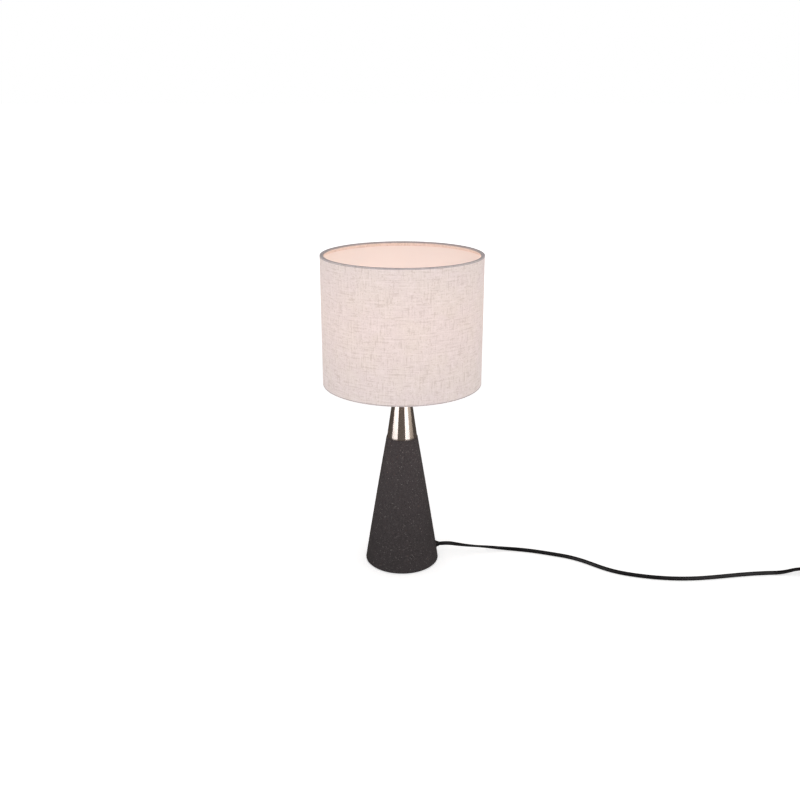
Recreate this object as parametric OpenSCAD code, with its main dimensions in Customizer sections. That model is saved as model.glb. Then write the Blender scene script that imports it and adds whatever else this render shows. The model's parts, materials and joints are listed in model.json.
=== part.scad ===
// Table lamp with a drum shade: cast cone base, metal neck cone, small-screw lamp holder,
// fabric shade on a wire fitter, flat mains lead with an in-line switch and a flat two-pin plug.
// Millimetres. +Z is up, the lamp stands on Z = 0 and its axis is the Z axis.

/* [Shade] */
// Outside diameter of the drum shade
shade_d = 200; // [190:1:210]
// Height of the drum shade
shade_h = 162.7; // [150:0.1:170]
// Height of the lamp from the floor to the top of the shade
lamp_h = 410.6; // [405:0.1:416]
// Thickness of the outer fabric
fabric_t = 0.6; // [0.4:0.1:0.8]
// Thickness of the stiff lining that the fabric is glued to
liner_t = 0.8; // [0.6:0.1:1]

/* [Base] */
// Diameter that the cone of the base has at the floor
base_d = 97.4; // [94:0.2:102]
// Diameter of the base at its top edge
base_top_d = 40.9; // [40:0.1:44]
// Height of the top edge of the base
base_top_z = 174.9; // [172:0.1:176]
// How far the sides of the base swell beyond a straight cone
base_swell = 0.35; // [0:0.05:0.6]
// Thickness of the soft pad under the base
pad_t = 1.2; // [1:0.1:2]
// Thickness of the steel plate that closes the base
plate_t = 2; // [1.5:0.5:3]
// Thickness of the iron weight inside the base
ballast_t = 8; // [6:1:9]

/* [Neck] */
// Diameter of the metal neck cone where it stands on the base
neck_d = 38.4; // [37:0.1:39]
// Diameter of the neck cone at its top
neck_top_d = 17; // [16.5:0.1:19]
// Height of the neck cone
neck_h = 77.1; // [75:0.1:78]
// Wall of the neck cone
neck_wall = 1.2; // [0.8:0.1:1.5]

/* [Holder and bulb] */
// Outside diameter of the small-screw holder's skirt, over its thread
skirt_d = 27.2; // [27:0.1:27.6]
// Diameter of the bulb's globe
globe_d = 45; // [44:0.5:46]
// Diameter of the bulb's screw cap
cap_d = 13.9; // [13.8:0.1:13.9]

/* [Mains lead] */
// Width of the flat cord
cord_w = 5.2; // [5:0.1:5.4]
// Thickness of the flat cord
cord_t = 3.2; // [3:0.1:3.4]
// Direction in which the cord leaves the base, in degrees from +X
exit_angle = 8; // [6:1:10]
// Height of the cord bush above the floor
exit_z = 16.5; // [15:0.5:18]

/* [Switch, coil and plug] */
// Length of the switch's case between its two noses
switch_l = 54; // [52:1:56]
// Width of the switch's case
switch_w = 25; // [24:1:27]
// Height of the switch's case
switch_h = 16; // [15:0.5:17]
// Diameter of the coil at the middle of its turns
coil_d = 57.6; // [57:0.2:58.2]
// Number of turns side by side in each layer of the coil
coil_rows = 3; // [3:1:3]

/* [Hidden] */
$fn = 96;

// --- heights and radii worked out from the sizes above ---
base_r = base_d / 2;
base_top_r = base_top_d / 2;
edge_r = 0.8;                       // rounding of the base's edges
deck_z = base_top_z - 17;           // underside of the solid deck at the top of the base
cavity_top_r = base_top_r - 5;      // hollow of the base under that deck
cavity_low_r = base_r - 8;          // hollow of the base above the plate
plate_r = base_r - 5.7;
plate_z = pad_t + plate_t;          // top of the steel plate
ballast_r = 31;
ballast_z = plate_z + ballast_t;    // top of the iron weight
boss_at = 36.5;                     // distance of the plate's screw bosses from the axis
boss_angles = [68, 188, 308];
ballast_angles = [98, 278];
ballast_screw_at = 18;
spigot_h = 3;                       // ring on the base that centres the neck

neck_r = neck_d / 2;
neck_top_r = neck_top_d / 2;
neck_top_z = base_top_z + neck_h;
neck_deck = 3;                      // thickness of the neck's flat top

tube_r = 5;                         // M10 x 1 lamp tube
tube_bore_r = 3.75;
tube_low_z = deck_z - 12;
nut_flats = 14;
nut_h = 4;
washer_t = 1.5;

holder_z = neck_top_z + nut_h;      // where the holder's base starts
tube_top_z = holder_z + 6;
collar_z = holder_z + 18;           // top of the collar that the shade stands on
skirt_top_z = holder_z + 52;
skirt_r = skirt_d / 2;
skirt_bore_r = skirt_r - 2.5;
insert_top_z = holder_z + 27.5;
ring_gap = 0.3;                     // free space between parts that turn or slide
fitter_t = 1.6;
fitter_z = collar_z + ring_gap;
fitter_r = 20.5;
ring_z = fitter_z + fitter_t + ring_gap;
ring_h = 8;

cap_r = cap_d / 2;
tip_z = insert_top_z + 2.5;         // lowest point of the bulb
cap_low_z = tip_z + 3.5;
cap_top_z = tip_z + 20;
globe_r = globe_d / 2;
globe_z = tip_z + 58;               // centre of the globe
globe_cut_z = tip_z + 44;           // where the globe meets its housing
globe_cut_r = sqrt(pow(globe_r, 2) - pow(globe_z - globe_cut_z, 2));

shade_r = shade_d / 2;
shade_low_z = lamp_h - shade_h;
liner_r = shade_r - fabric_t;       // outside of the lining
liner_bore_r = liner_r - liner_t;
trim_t = 0.5;                       // fabric rolled over the two wires
trim_skirt = 6;                     // how far it reaches down inside
wire_r = 1.3;
wire_gap = 0.05;                    // glue between a rim wire and the fabric round it
wire_at = liner_bore_r - wire_r - wire_gap;
trim_bore_r = wire_at - wire_r - wire_gap - trim_t;
arm_angles = [90, 210, 330];
arm_r = 1.5;

// --- the switch, the coil and the plug lie beyond the cord's open run ---
switch_x = 555;
switch_y = -48;
nose_l = 6;
switch_split = 8.5;                 // height at which the two halves of the case meet
case_wall = 1.8;
rocker_z = 12.5;
rocker_tilt = 8;
coil_x = 580;
coil_y = -108;
tie_t = 0.6;
turn_gap = 0.1;                     // space between neighbouring turns
row_pitch = cord_t + 2 * turn_gap;
coil_in_r = (coil_d - coil_rows * row_pitch) / 2;
coil_out_r = (coil_d + coil_rows * row_pitch) / 2;
coil_h = 2 * (cord_w + turn_gap);
plug_y = -163;
plug_t = 13.7;
plug_w = 35.3;
plug_l = 36;
relief_x = 577.4;                   // where the cord enters the plug's strain relief
relief_l = 22;
plug_back_x = relief_x - relief_l;
plug_face_x = plug_back_x - plug_l;
pin_l = 19;
pin_r = 2;
pin_at = 9.3;
sleeve_l = 10;

// --- routes of the cord: x, y, z, and the turn of its wide side from upright, in degrees ---
run_route = [
    [49.7, 7, 16.5, 0], [56, 7.9, 16.7, 18], [65, 9.1, 16, 36], [75, 10.5, 13.8, 68],
    [86, 12, 11.5, 95], [98, 13.8, 9.4, 114], [110, 15.5, 7.7, 121], [122, 17.1, 5.8, 140],
    [133, 18.6, 3.9, 154], [143, 19, 2.8, 170], [153, 17.4, 2.7, 188], [164, 15.3, 2.7, 204],
    [176, 12.4, 2.7, 208], [190, 8, 2.7, 208], [203, 3.4, 2.7, 208], [216, -1.4, 2.7, 208],
    [228, -7.1, 2.7, 208], [240, -15, 2.7, 208], [250, -23.3, 2.7, 208], [260, -32.1, 2.7, 208],
    [271, -40.6, 2.7, 208], [283, -47.4, 2.7, 208], [296, -52.6, 2.7, 208],
    [309, -56.5, 2.7, 208], [322, -59.6, 2.7, 208], [336, -61.9, 2.7, 208],
    [350, -63.2, 2.7, 208], [364, -63.5, 2.7, 208], [378, -62.8, 2.7, 208],
    [392, -61.2, 2.7, 208], [406, -59, 2.7, 208], [420, -56.5, 2.7, 208],
    [434, -54, 2.7, 208], [448, -51.8, 2.7, 208], [462, -50, 2.7, 210], [476, -48.8, 2.7, 218],
    [490, -48.2, 2.9, 236], [500, -48, 4.3, 252], [511, -48, 7.2, 265], [522, -48, 8.5, 270]];
tail_route = [
    [588, -48, 8.5, 270], [596, -49.3, 7.9, 278], [603, -53.8, 6.3, 292], [608.2, -60.4, 4.7, 310],
    [611, -68.5, 3.7, 330], [612.2, -78, 3.3, 350], [612.3, -88, 3.25, 360],
    [612.1, -98, 3.25, 360]];
end_route = [
    [610.3, -119, 8.5, 0], [606.6, -129, 7.6, 14], [602.8, -139.5, 5.2, 34], [598.8, -149, 3.5, 56],
    [592.8, -157, 3.2, 76], [585.6, -161.9, 4.9, 88], [577.4, -163, 6.85, 90]];
// The run inside the base and the tube lies in one upright plane: distance from the axis, z, turn.
inner_route = [
    [50.2, 16.5, 0], [44, 16.5, 0], [36, 16.5, 0], [28, 16.3, 30], [22, 14.4, 70], [18, 13, 90],
    [12, 13, 90], [4, 14.5, 90], [-4, 20, 90], [-9, 30, 90], [-10, 45, 90], [-9, 65, 90],
    [-6, 90, 90], [-2.5, 118, 90], [0, 140, 90], [0, 180, 90], [0, 220, 90], [0, 258, 90]];

// --- geometry helpers ---
function base_side_r(z) =
    let (t = z / base_top_z) base_r + (base_top_r - base_r) * t + base_swell * 4 * t * (1 - t);
function unit(v) = v / norm(v);
function xyz(p) = [p[0], p[1], p[2]];
// Direction of a route at one of its points
function heading(route, i) =
    unit(xyz(route[min(i + 1, len(route) - 1)]) - xyz(route[max(i - 1, 0)]));
// Level direction to the left of the heading, or a given one where the route is upright
function left_of(d, spare) = norm([d[0], d[1]]) > 0.05 ? unit([-d[1], d[0], 0]) : spare;
// Eight points round a flat cord, or round a thin wire when wide and thick are equal
function ring_points(p, d, left, wide, thick) =
    let (up = cross(d, left), w = cos(p[3]) * up + sin(p[3]) * left, s = cross(d, w))
    [for (k = [0:7]) let (a = 22.5 + 45 * k)
        xyz(p) + w * (cos(a) * thick / 2 / cos(22.5) + sign(cos(a)) * (wide - thick) / 2)
               + s * sin(a) * thick / 2 / cos(22.5)];
function flip(points) = [for (i = [len(points) - 1:-1:0]) points[i]];

module sweep_cord(route, wide, thick, spare = [0, 1, 0]) {
    n = len(route);
    rings = [for (i = [0:n - 1])
        let (d = heading(route, i)) ring_points(route[i], d, left_of(d, spare), wide, thick)];
    polyhedron(
        points = [for (r = rings) each r],
        faces = concat(
            [flip([for (k = [0:7]) k])],
            [[for (k = [0:7]) (n - 1) * 8 + k]],
            [for (i = [0:n - 2]) for (k = [0:7]) let (m = (k + 1) % 8)
                each [[i * 8 + k, i * 8 + m, (i + 1) * 8 + m],
                      [i * 8 + k, (i + 1) * 8 + m, (i + 1) * 8 + k]]]),
        convexity = 8);
}

module ring(r_out, r_in, z, h) {
    translate([0, 0, z]) difference() {
        cylinder(h = h, r = r_out);
        translate([0, 0, -1]) cylinder(h = h + 2, r = r_in);
    }
}

module at_angles(angles, r) {
    for (a = angles) rotate([0, 0, a]) translate([r, 0, 0]) children();
}

module rounded_plan(l, w, r) {
    square([l - 2 * r, w], center = true);
    square([l, w - 2 * r], center = true);
    for (x = [-1, 1]) for (y = [-1, 1]) translate([x * (l / 2 - r), y * (w / 2 - r)]) circle(r = r);
}

// Outline of the flat cord with some room round it, wide side along Y
module cord_slot(room) {
    square([cord_t + 2 * room, cord_w - cord_t], center = true);
    for (s = [-1, 1]) translate([0, s * (cord_w - cord_t) / 2]) circle(r = cord_t / 2 + room, $fn = 24);
}

// Places something whose axis is Z along the cord bush, starting at a distance from the lamp's axis
module along_exit(distance) {
    rotate([0, 0, exit_angle]) translate([distance, 0, exit_z]) rotate([0, 90, 0]) children();
}

// --- base ---
module foot_pad() {
    color("#2b2a2a") cylinder(h = pad_t, r = base_r - 2.4);
}

module base_cone() {
    steps = 6;
    side = [for (i = [0:steps]) let (z = pad_t + edge_r + i * (base_top_z - 2 * edge_r - pad_t) / steps)
        [base_side_r(z), z]];
    color("#463f3d") difference() {
        union() {
            difference() {
                rotate_extrude($fn = 128) polygon(concat(
                    [[0, pad_t], [base_side_r(pad_t) - edge_r, pad_t]], side,
                    [[base_top_r - edge_r, base_top_z], [0, base_top_z]]));
                rotate_extrude($fn = 128) polygon([
                    [0, pad_t - 1], [plate_r + 0.3, pad_t - 1], [plate_r + 0.3, plate_z],
                    [cavity_low_r, plate_z], [cavity_top_r, deck_z], [0, deck_z]]);
            }
            at_angles(boss_angles, boss_at) translate([0, 0, plate_z]) cylinder(h = 15, r = 4.5);
            translate([0, 0, base_top_z]) cylinder(h = spigot_h, r = neck_r - neck_wall - 0.6);
        }
        translate([0, 0, deck_z - 1]) cylinder(h = 30, r = tube_r + 0.2);
        at_angles(boss_angles, boss_at) translate([0, 0, plate_z - 1]) cylinder(h = 12, r = 1.8);
        along_exit(30) cylinder(h = 30, r = 4);
        along_exit(44.6) cylinder(h = 10, r = 4.9);
    }
}

module base_plate() {
    color("#8a8a88") difference() {
        translate([0, 0, pad_t]) cylinder(h = plate_t, r = plate_r);
        at_angles(boss_angles, boss_at) countersink(1.85, 3.6);
        at_angles(ballast_angles, ballast_screw_at) countersink(2.6, 4.4);
    }
}

module countersink(r, head_r) {
    translate([0, 0, pad_t - 1]) cylinder(h = plate_t + 2, r = r);
    translate([0, 0, pad_t - 0.01]) cylinder(h = 1.6, r1 = head_r, r2 = r);
}

module countersunk_screw(r, head_r, l) {
    translate([0, 0, pad_t]) {
        cylinder(h = 1.5, r1 = head_r, r2 = r);
        cylinder(h = l, r = r);
    }
}

module plate_screws() {
    color("silver") at_angles(boss_angles, boss_at) countersunk_screw(1.75, 3.4, 11);
}

module ballast() {
    color("#55524f") difference() {
        translate([0, 0, plate_z]) cylinder(h = ballast_t, r = ballast_r);
        at_angles(ballast_angles, ballast_screw_at)
            translate([0, 0, plate_z - 1]) cylinder(h = 7, r = 2.5);
        rotate([0, 0, exit_angle]) for (y = [-7, 7])
            translate([15, y, ballast_z - 5]) cylinder(h = 6, r = 1.5);
    }
}

module ballast_screws() {
    color("silver") at_angles(ballast_angles, ballast_screw_at) countersunk_screw(2.45, 4.2, 7.5);
}

module cord_bush() {
    color("#1b1b1d") difference() {
        union() {
            along_exit(26) cylinder(h = 10, r1 = 3.2, r2 = 3.9);
            along_exit(36) cylinder(h = 8.6, r = 3.9);
            along_exit(44.6) cylinder(h = 2.6, r = 4.6);
            along_exit(47.2) cylinder(h = 3, r1 = 4, r2 = 2.95);
        }
        rotate([0, 0, exit_angle]) translate([20, 0, exit_z]) rotate([90, 0, 90])
            linear_extrude(40) cord_slot(0.1);
    }
}

module cord_clamp() {
    color("#1f1f21") rotate([0, 0, exit_angle]) difference() {
        translate([11, -10, ballast_z]) cube([8, 20, 5]);
        translate([10, -2.8, ballast_z - 1]) cube([10, 5.6, 5.1]);
        for (y = [-7, 7]) translate([15, y, ballast_z - 1]) cylinder(h = 7, r = 1.6);
    }
}

module clamp_screws() {
    color("silver") rotate([0, 0, exit_angle]) for (y = [-7, 7]) translate([15, y, ballast_z]) {
        translate([0, 0, -4]) cylinder(h = 9, r = 1.45);
        translate([0, 0, 5]) cylinder(h = 1.8, r = 2.6);
    }
}

module inner_cord() {
    color("#1b1b1d") rotate([0, 0, exit_angle])
        sweep_cord([for (p = inner_route) [p[0], 0, p[1], p[2]]], cord_w, cord_t, [0, -1, 0]);
}

// One insulated core from the end of the sheath to its terminal in the holder
module core(side) {
    sweep_cord([[side * 1.2, 0, 258, 0], [side * 1.5, 0, 262.5, 0], [side * 3.6, 0, 265.8, 0],
        [side * 6, 0, 268.4, 0], [side * 6.5, 0, 271, 0], [side * 6.5, 0, 274, 0]], 2, 2, [0, 1, 0]);
}

module live_core() {
    color("#6b3f25") core(1);
}

module neutral_core() {
    color("#2f5fae") core(-1);
}

// --- neck and the tube that ties the lamp together ---
module neck_cone() {
    color("#b9aa9c") difference() {
        rotate_extrude($fn = 128) polygon([
            [0, base_top_z], [neck_r - 0.2, base_top_z], [neck_r, base_top_z + 0.3],
            [neck_top_r + 0.4, neck_top_z - 0.6], [neck_top_r - 0.2, neck_top_z], [0, neck_top_z]]);
        rotate_extrude($fn = 128) polygon([
            [0, base_top_z - 1], [neck_r - neck_wall, base_top_z - 1],
            [neck_r - neck_wall, base_top_z + 0.3],
            [neck_top_r + 0.4 - neck_wall, neck_top_z - neck_deck], [0, neck_top_z - neck_deck]]);
        translate([0, 0, neck_top_z - 5]) cylinder(h = 10, r = tube_r + 0.1);
    }
}

module threaded_tube() {
    color("#c9c4b4") ring(tube_r, tube_bore_r, tube_low_z, tube_top_z - tube_low_z);
}

module tube_washer() {
    color("silver") ring(12, tube_r + 0.3, deck_z - washer_t, washer_t);
}

module lock_washer() {
    color("#9a9a98") ring(8, tube_r + 0.2, deck_z - 2 * washer_t, washer_t);
}

module hex_nut(z) {
    translate([0, 0, z]) difference() {
        cylinder(h = nut_h, r = nut_flats / 2 / cos(30), $fn = 6);
        translate([0, 0, -1]) cylinder(h = nut_h + 2, r = tube_r + 0.05);
    }
}

module base_nut() {
    color("#c9c4b4") hex_nut(deck_z - 2 * washer_t - nut_h);
}

module neck_nut() {
    color("#c9c4b4") hex_nut(neck_top_z);
}

// --- lamp holder ---
module holder_base() {
    color("#1e1e20") translate([0, 0, holder_z]) difference() {
        rotate_extrude() polygon([
            [0, 0], [10.5, 0], [13, 2.4], [14.5, 6], [15, 10], [15, 16], [0, 16]]);
        translate([0, 0, -1]) cylinder(h = 8, r = tube_r + 0.05);
        translate([0, 0, 6]) cylinder(h = 11, r = 12.6);
        translate([4, 0, 3]) rotate([0, 90, 0]) cylinder(h = 12, r = 1.5);
    }
}

module grub_screw() {
    color("silver") translate([tube_r + 0.1, 0, holder_z + 3]) rotate([0, 90, 0])
        cylinder(h = 5, r = 1.45);
}

module holder_shell() {
    color("#1e1e20") difference() {
        union() {
            translate([0, 0, holder_z + 11]) cylinder(h = 10, r = 12.5);
            translate([0, 0, collar_z - 2]) cylinder(h = 2, r = 17);
            translate([0, 0, collar_z]) cylinder(h = skirt_top_z - collar_z, r = skirt_r);
        }
        translate([0, 0, holder_z + 10]) cylinder(h = insert_top_z - holder_z - 10, r = skirt_bore_r);
        translate([0, 0, insert_top_z - 1]) cylinder(h = 4, r = 9.2);
        translate([0, 0, insert_top_z + 1.5]) cylinder(h = 40, r = skirt_bore_r);
    }
}

module holder_insert() {
    low_z = holder_z + 14;
    color("#e6e1d6") difference() {
        translate([0, 0, low_z]) cylinder(h = insert_top_z - low_z, r = skirt_bore_r - 0.1);
        for (s = [-1, 1]) {
            translate([s * 6.5, 0, low_z - 1]) cylinder(h = 6, r = 1.3);
            translate([s * 6.5, 0, low_z + 3]) rotate([0, s * 90, 0]) cylinder(h = 8, r = 1.5);
            translate([s * 8.5, 0, low_z + 3]) rotate([0, s * 90, 0]) cylinder(h = 8, r = 2.6);
        }
    }
}

module terminal_screws() {
    color("#c9a24a") for (s = [-1, 1])
        translate([s * 7.7, 0, holder_z + 17]) rotate([0, s * 90, 0]) {
            cylinder(h = 1, r = 1.4);
            translate([0, 0, 0.9]) cylinder(h = 1.8, r = 2.4);
        }
}

module screw_shell() {
    color("#d2b46a") {
        ring(8.8, cap_r + 0.1, insert_top_z, 0.8);
        ring(cap_r + 0.6, cap_r + 0.1, insert_top_z + 0.8, 20);
    }
}

module centre_contact() {
    color("#d2b46a") translate([0, 0, insert_top_z]) {
        translate([-5, -2, 0]) cube([10, 4, 0.5]);
        cylinder(h = 2.1, r = 2);
    }
}

module shade_ring() {
    grooves = 24;
    color("#1e1e20") difference() {
        ring(fitter_r, skirt_r + ring_gap, ring_z, ring_h);
        for (i = [0:grooves - 1]) rotate([0, 0, i * 360 / grooves])
            translate([fitter_r + 0.6, 0, ring_z + 2]) cylinder(h = ring_h, r = 1.2, $fn = 24);
    }
}

// --- shade ---
module shade_fabric() {
    color("#e6d8d0") ring(shade_r, liner_r, shade_low_z + trim_t, shade_h - 2 * trim_t);
}

module shade_liner() {
    color("#f4dccf") ring(liner_r, liner_bore_r, shade_low_z + trim_t, shade_h - 2 * trim_t);
}

module shade_seam() {
    color("#ddcfc7") translate([0, 0, shade_low_z + trim_t]) rotate([0, 0, 87])
        rotate_extrude(angle = 6) translate([shade_r, 0]) square([0.3, shade_h - 2 * trim_t]);
}

// The strip of fabric that is rolled over a rim wire; it is drawn for the top rim
module rim_trim() {
    rotate_extrude() {
        translate([trim_bore_r, -trim_t]) square([shade_r - trim_bore_r, trim_t]);
        translate([trim_bore_r, -trim_skirt]) square([trim_t, trim_skirt]);
    }
}

module top_trim() {
    color("#cfc0ba") translate([0, 0, lamp_h]) rim_trim();
}

module bottom_trim() {
    color("#cfc0ba") translate([0, 0, shade_low_z]) mirror([0, 0, 1]) rim_trim();
}

module rim_wire(z) {
    translate([0, 0, z]) rotate_extrude() translate([wire_at, 0]) circle(r = wire_r, $fn = 24);
}

module top_wire() {
    color("#f2efe9") rim_wire(lamp_h - trim_t - wire_gap - wire_r);
}

module bottom_wire() {
    color("#f2efe9") rim_wire(shade_low_z + trim_t + wire_gap + wire_r);
}

module rod(a, b, r) {
    v = b - a;
    translate(a) rotate([0, acos(v[2] / norm(v)), atan2(v[1], v[0])]) cylinder(h = norm(v), r = r, $fn = 32);
}

module fitter_arms() {
    low_z = shade_low_z + trim_t + wire_gap + wire_r;
    high_z = fitter_z + fitter_t / 2;
    color("#f2efe9") for (a = arm_angles) rotate([0, 0, a]) {
        rod([wire_at - wire_r - 0.1, 0, low_z], [84, 0, low_z], arm_r);
        translate([84, 0, low_z]) sphere(r = arm_r, $fn = 32);
        rod([84, 0, low_z], [30, 0, high_z], arm_r);
        translate([30, 0, high_z]) sphere(r = arm_r, $fn = 32);
        rod([30, 0, high_z], [fitter_r, 0, high_z], arm_r);
    }
}

module fitter_ring() {
    color("#f2efe9") ring(fitter_r, skirt_r + 0.4, fitter_z, fitter_t);
}

// --- bulb ---
module bulb_cap() {
    color("#c8c4bb") translate([0, 0, cap_low_z]) difference() {
        cylinder(h = cap_top_z - cap_low_z, r = cap_r);
        translate([0, 0, 0.6]) cylinder(h = 40, r = cap_r - 0.5);
    }
}

module bulb_insulator() {
    color("#15131a") translate([0, 0, tip_z + 1]) cylinder(h = cap_low_z - tip_z - 1, r1 = 2.6, r2 = 6.2);
}

module bulb_tip() {
    color("#c8c4bb") translate([0, 0, tip_z]) cylinder(h = 1, r1 = 1.6, r2 = 2.4);
}

module bulb_housing() {
    low_z = cap_top_z + ring_gap;
    outer = [[7.3, low_z], [9, low_z + 2], [12.4, low_z + 8], [15.5, low_z + 16],
        [globe_cut_r, globe_cut_z]];
    inner = [for (i = [len(outer) - 1:-1:1]) outer[i] - [1.1, 0]];
    color("#f1f0ec") rotate_extrude() polygon(concat(
        outer, inner, [[7, low_z + 1.2], [cap_r - 0.8, low_z + 1.2], [cap_r - 0.8, low_z]]));
}

module bulb_globe() {
    color("#fbf4e8") difference() {
        translate([0, 0, globe_z]) sphere(r = globe_r);
        translate([0, 0, globe_z]) sphere(r = globe_r - 1);
        translate([0, 0, globe_cut_z - 30]) cylinder(h = 30, r = globe_r + 1);
    }
}

module led_board() {
    chips = 8;
    color("#f4f4f0") translate([0, 0, globe_cut_z]) cylinder(h = 1.2, r = 15.5);
    color("#f6d34a") for (i = [0:chips - 1]) rotate([0, 0, i * 360 / chips])
        translate([8.6, -1.4, globe_cut_z + 1.2]) cube([2.8, 2.8, 0.7]);
}

module driver_board() {
    color("#2f6b3c") translate([-6, -0.6, cap_top_z + 1.5]) cube([12, 1.2, 17]);
    color("#232323") translate([0, 3.7, cap_top_z + 8]) cylinder(h = 9, r = 3);
}

// --- mains lead ---
module cord_run() {
    color("#1b1b1d") sweep_cord(run_route, cord_w, cord_t);
}

module cord_tail() {
    color("#1b1b1d") sweep_cord(tail_route, cord_w, cord_t);
}

module cord_end() {
    color("#1b1b1d") sweep_cord(end_route, cord_w, cord_t);
}

module cord_coil() {
    color("#1b1b1d") translate([coil_x, coil_y, tie_t]) rotate_extrude()
        translate([coil_in_r, 0]) square([coil_out_r - coil_in_r, coil_h]);
}

module coil_tie() {
    color("#2a2a2c") translate([coil_x, coil_y, tie_t]) rotate([0, 0, 196])
        rotate_extrude(angle = 8) difference() {
            translate([coil_in_r - tie_t, -tie_t])
                square([coil_out_r - coil_in_r + 2 * tie_t, coil_h + 2 * tie_t]);
            translate([coil_in_r, 0]) square([coil_out_r - coil_in_r, coil_h]);
        }
}

// --- in-line switch ---
module at_switch() {
    translate([switch_x, switch_y, 0]) children();
}

// Outer form of the case with its two tapered noses, solid
module switch_block() {
    linear_extrude(switch_h) rounded_plan(switch_l, switch_w, 10);
    for (s = [-1, 1]) translate([s * (switch_l / 2 - 1), 0, switch_split]) rotate([0, s * 90, 0])
        cylinder(h = nose_l + 1, r1 = 6, r2 = 4.2);
}

// Hollow of the case, the way in for the cord at both ends and the holes of the two screws
module switch_hollow() {
    translate([0, 0, case_wall]) linear_extrude(switch_h - 2 * case_wall)
        rounded_plan(switch_l - 2 * case_wall, switch_w - 2 * case_wall, 8);
    translate([-switch_l, 0, switch_split]) rotate([90, 0, 90]) linear_extrude(2 * switch_l)
        rotate([0, 0, 90]) cord_slot(0.05);
}

module switch_lower() {
    color("#1b1b1d") at_switch() difference() {
        union() {
            intersection() {
                difference() {
                    switch_block();
                    switch_hollow();
                }
                translate([-50, -50, 0]) cube([100, 100, switch_split]);
            }
            for (s = [-1, 1]) translate([s * 17, s * 7, 1]) cylinder(h = switch_split - 1, r = 3);
        }
        for (s = [-1, 1]) translate([s * 17, s * 7, -1]) {
            cylinder(h = 20, r = 1.4);
            cylinder(h = 3, r = 2.8);
        }
    }
}

module switch_upper() {
    color("#1b1b1d") at_switch() difference() {
        union() {
            intersection() {
                difference() {
                    switch_block();
                    switch_hollow();
                }
                translate([-50, -50, switch_split]) cube([100, 100, 20]);
            }
            for (s = [-1, 1]) {
                translate([s * 17, s * 7, switch_split]) cylinder(h = 6, r = 3);
                translate([-2.5, s * 6.6 - 0.8, 10.6]) cube([5, 1.6, 4]);
            }
        }
        translate([-8.5, -5.5, 13]) cube([17, 11, 10]);
        for (s = [-1, 1]) translate([s * 17, s * 7, switch_split - 1]) cylinder(h = 5.5, r = 1.3);
        translate([0, 10, rocker_z]) rotate([90, 0, 0]) cylinder(h = 20, r = 1.02);
    }
}

module switch_rocker() {
    color("#26262a") at_switch() translate([0, 0, rocker_z]) rotate([90, rocker_tilt, 0])
        translate([0, 0, -5]) difference() {
            linear_extrude(10) polygon([
                [-7.5, 1.6], [-7.5, 4.4], [-3.6, 4], [0, 3.2], [3.6, 4], [7.5, 4.4], [7.5, 1.6],
                [2.2, -3], [-2.2, -3]]);
            translate([0, 0, -1]) cylinder(h = 12, r = 1.05);
        }
}

module switch_pin() {
    color("silver") at_switch() translate([0, 7, rocker_z]) rotate([90, 0, 0]) cylinder(h = 14, r = 1);
}

module switch_contacts() {
    color("#d2b46a") at_switch() for (y = [-4.2, 4.2]) {
        translate([-7.4, y - 1.5, 6.1]) cube([5.4, 3, 0.6]);
        translate([2, y - 1.5, 6.1]) cube([5.4, 3, 0.6]);
    }
}

module switch_terminals() {
    color("#c9a24a") at_switch() for (x = [-10.4, 10.4]) for (y = [-4.2, 4.2])
        translate([x - 3, y - 2, case_wall]) cube([6, 4, 5]);
}

module switch_screws() {
    color("silver") at_switch() for (s = [-1, 1]) translate([s * 17, s * 7, 0]) {
        translate([0, 0, 0.4]) cylinder(h = 1.5, r = 2.6);
        cylinder_from(1.8, 10, 1.25);
    }
}

module cylinder_from(z, h, r) {
    translate([0, 0, z]) cylinder(h = h, r = r);
}

// --- plug ---
module at_plug() {
    translate([plug_face_x, plug_y, plug_t / 2]) children();
}

module plug_body() {
    half_w = plug_w / 2;
    half_t = plug_t / 2;
    color("#1b1b1d") at_plug() difference() {
        intersection() {
            translate([0, 0, -half_t]) linear_extrude(plug_t) polygon([
                [0, -half_w], [15, -half_w], [26, -11], [plug_l, -7],
                [plug_l, 7], [26, 11], [15, half_w], [0, half_w]]);
            rotate([90, 0, 90]) linear_extrude(plug_l) polygon([
                [-half_w, -2], [-half_w + 5, -half_t], [half_w - 5, -half_t], [half_w, -2],
                [half_w, 2], [half_w - 5, half_t], [-half_w + 5, half_t], [-half_w, 2]]);
        }
        for (s = [-1, 1]) translate([-1, s * pin_at, 0]) rotate([0, 90, 0]) cylinder(h = 11, r = 1.5);
    }
}

module plug_relief() {
    color("#1b1b1d") at_plug() translate([plug_l, 0, 0]) rotate([0, 90, 0])
        cylinder(h = relief_l, r1 = 5.6, r2 = 3.3);
}

module plug_pins() {
    color("#d0cdc4") at_plug() for (s = [-1, 1]) translate([0, s * pin_at, 0]) {
        translate([-sleeve_l, 0, 0]) rotate([0, 90, 0]) cylinder(h = sleeve_l + 10, r = 1.5);
        translate([1 - pin_l, 0, 0]) rotate([0, 90, 0]) cylinder(h = pin_l - 1 - sleeve_l, r = pin_r);
        translate([-pin_l, 0, 0]) rotate([0, 90, 0]) cylinder(h = 1, r1 = 1.2, r2 = pin_r);
    }
}

module pin_sleeves() {
    color("#1b1b1d") at_plug() for (s = [-1, 1]) translate([-sleeve_l, s * pin_at, 0]) rotate([0, 90, 0])
        difference() {
            cylinder(h = sleeve_l, r = pin_r);
            translate([0, 0, -1]) cylinder(h = sleeve_l + 2, r = 1.5);
        }
}

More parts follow.
